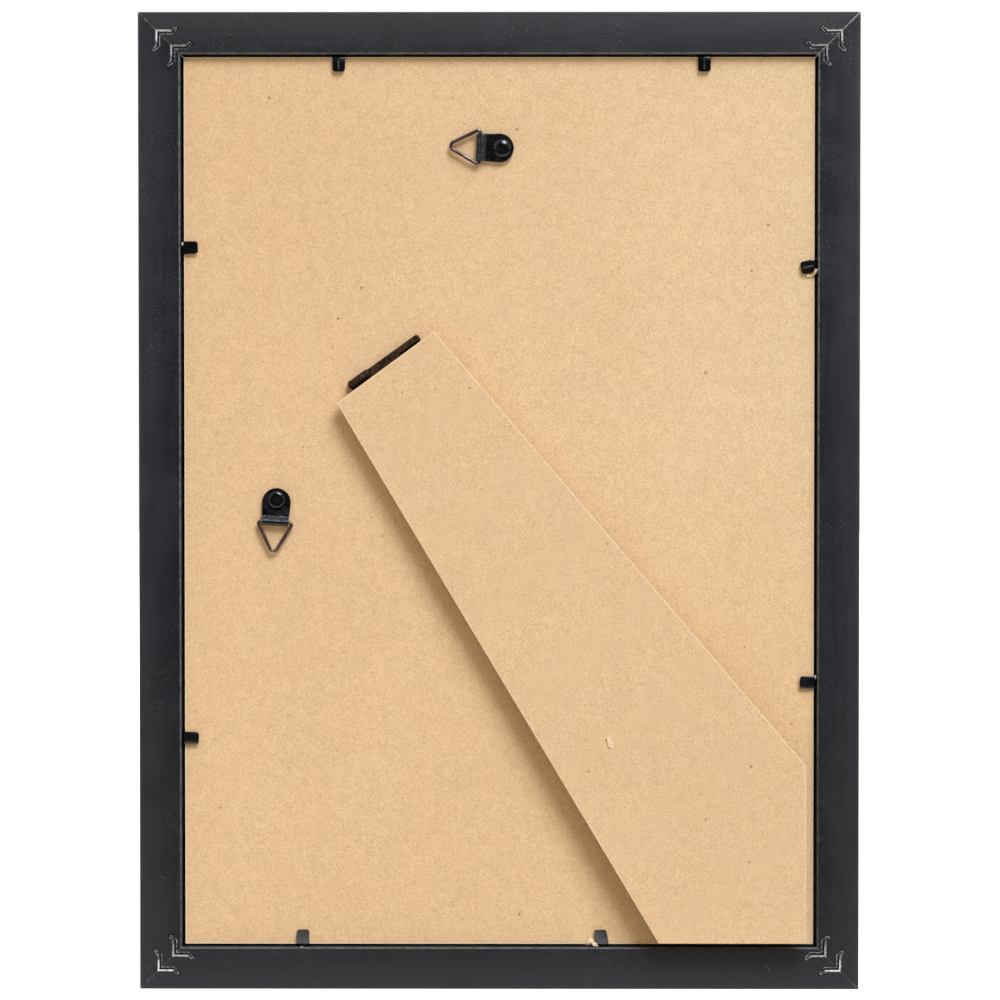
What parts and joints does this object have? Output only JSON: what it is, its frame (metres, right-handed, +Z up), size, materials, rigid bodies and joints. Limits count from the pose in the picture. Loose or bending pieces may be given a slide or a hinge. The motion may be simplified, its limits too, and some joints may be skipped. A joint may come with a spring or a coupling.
{
  "type": "certificate frame",
  "caption": "Upright A4 certificate frame: mitred black moulding, glazing, tabbed fibreboard back, folding easel strut on a hinge and swivelling triangle-ring hangers.",
  "frame": {"origin": "middle of the bottom rail's underside, half way through the moulding's depth", "axes": "+Z up the upright page, +X to the right as seen from behind, back and strut towards -Y, glazing towards +Y"},
  "size_m": [0.2412, 0.0212, 0.3272],
  "materials": {
    "moulding": "satin black moulding",
    "nail_steel": "bright sheet steel",
    "glazing": "clear",
    "sheet": "blank ivory paper",
    "fibreboard": "raw fibreboard",
    "black_steel": "black enamel",
    "ring_wire": "dark bronze lacquer"
  },
  "bodies": {
    "frame_body": {"rail_top": "moulding", "rail_bottom": "moulding", "rail_left": "moulding", "rail_right": "moulding", "v_nail_top_left_outer": "nail_steel", "v_nail_top_left_inner": "nail_steel", "v_nail_top_right_outer": "nail_steel", "v_nail_top_right_inner": "nail_steel", "v_nail_bottom_left_outer": "nail_steel", "v_nail_bottom_left_inner": "nail_steel", "v_nail_bottom_right_outer": "nail_steel", "v_nail_bottom_right_inner": "nail_steel", "glazing": "glazing", "certificate_sheet": "sheet", "back_board": "fibreboard", "hinge_board_leaf": "black_steel", "hinge_pin": "black_steel", "top_hanger_rivet": "black_steel", "side_hanger_rivet": "black_steel", "tab_point_top_left": "black_steel", "tab_point_top_right": "black_steel", "tab_point_left_upper": "black_steel", "tab_point_left_lower": "black_steel", "tab_point_right_upper": "black_steel", "tab_point_right_lower": "black_steel", "tab_point_bottom_left": "black_steel", "tab_point_bottom_right": "black_steel"},
    "strut": {"easel_strut": "fibreboard", "hinge_strut_leaf": "black_steel"},
    "top_hanger": {"top_hanger_plate": "black_steel"},
    "top_ring": {"top_hanger_ring": "ring_wire"},
    "side_hanger": {"side_hanger_plate": "black_steel"},
    "side_ring": {"side_hanger_ring": "ring_wire"},
    "tongue_top_left": {"tab_tongue_top_left": "black_steel"},
    "tongue_top_right": {"tab_tongue_top_right": "black_steel"},
    "tongue_left_upper": {"tab_tongue_left_upper": "black_steel"},
    "tongue_left_lower": {"tab_tongue_left_lower": "black_steel"},
    "tongue_right_upper": {"tab_tongue_right_upper": "black_steel"},
    "tongue_right_lower": {"tab_tongue_right_lower": "black_steel"},
    "tongue_bottom_left": {"tab_tongue_bottom_left": "black_steel"},
    "tongue_bottom_right": {"tab_tongue_bottom_right": "black_steel"}
  },
  "joints": [
    {"name": "strut_fold", "type": "hinge", "parent": "frame_body", "child": "strut", "pos_m": [-0.0385, -0.0057, 0.2104], "axis": [-0.8121, 0, -0.5835], "range_deg": [-1, 29]},
    {"name": "top_hanger_swivel", "type": "hinge", "parent": "frame_body", "child": "top_hanger", "pos_m": [0.001, -0.0052, 0.2819], "axis": [0, -1, 0], "continuous": true},
    {"name": "top_ring_pivot", "type": "hinge", "parent": "top_hanger", "child": "top_ring", "pos_m": [-0.00649, -0.00597, 0.28223], "axis": [0.0436, 0, 0.999], "range_deg": [0, 150]},
    {"name": "side_hanger_swivel", "type": "hinge", "parent": "frame_body", "child": "side_hanger", "pos_m": [-0.0746, -0.0052, 0.1643], "axis": [0, -1, 0], "continuous": true},
    {"name": "side_ring_pivot", "type": "hinge", "parent": "side_hanger", "child": "side_ring", "pos_m": [-0.07507, -0.00597, 0.15681], "axis": [-0.998, 0, 0.0628], "range_deg": [0, 150]},
    {"name": "tab_top_left_bend", "type": "hinge", "parent": "frame_body", "child": "tongue_top_left", "pos_m": [-0.0536, -0.00507, 0.3121], "axis": [-1, 0, 0], "range_deg": [0, 80]},
    {"name": "tab_top_right_bend", "type": "hinge", "parent": "frame_body", "child": "tongue_top_right", "pos_m": [0.06852, -0.00507, 0.3121], "axis": [-0.9998, 0, -0.0175], "range_deg": [0, 80]},
    {"name": "tab_left_upper_bend", "type": "hinge", "parent": "frame_body", "child": "tongue_left_upper", "pos_m": [-0.1055, -0.00507, 0.24863], "axis": [0.0349, 0, -0.9994], "range_deg": [0, 80]},
    {"name": "tab_left_lower_bend", "type": "hinge", "parent": "frame_body", "child": "tongue_left_lower", "pos_m": [-0.1055, -0.00507, 0.08428], "axis": [-0.0175, 0, -0.9998], "range_deg": [0, 80]},
    {"name": "tab_right_upper_bend", "type": "hinge", "parent": "frame_body", "child": "tongue_right_upper", "pos_m": [0.10552, -0.00507, 0.24321], "axis": [-0.2079, 0, 0.9781], "range_deg": [0, 80]},
    {"name": "tab_right_lower_bend", "type": "hinge", "parent": "frame_body", "child": "tongue_right_lower", "pos_m": [0.1055, -0.00507, 0.10293], "axis": [0.0349, 0, 0.9994], "range_deg": [0, 80]},
    {"name": "tab_bottom_left_bend", "type": "hinge", "parent": "frame_body", "child": "tongue_bottom_left", "pos_m": [-0.0659, -0.00507, 0.0151], "axis": [1, 0, 0], "range_deg": [0, 80]},
    {"name": "tab_bottom_right_bend", "type": "hinge", "parent": "frame_body", "child": "tongue_bottom_right", "pos_m": [0.03458, -0.00507, 0.01507], "axis": [0.9703, 0, 0.2419], "range_deg": [0, 80]}
  ]
}
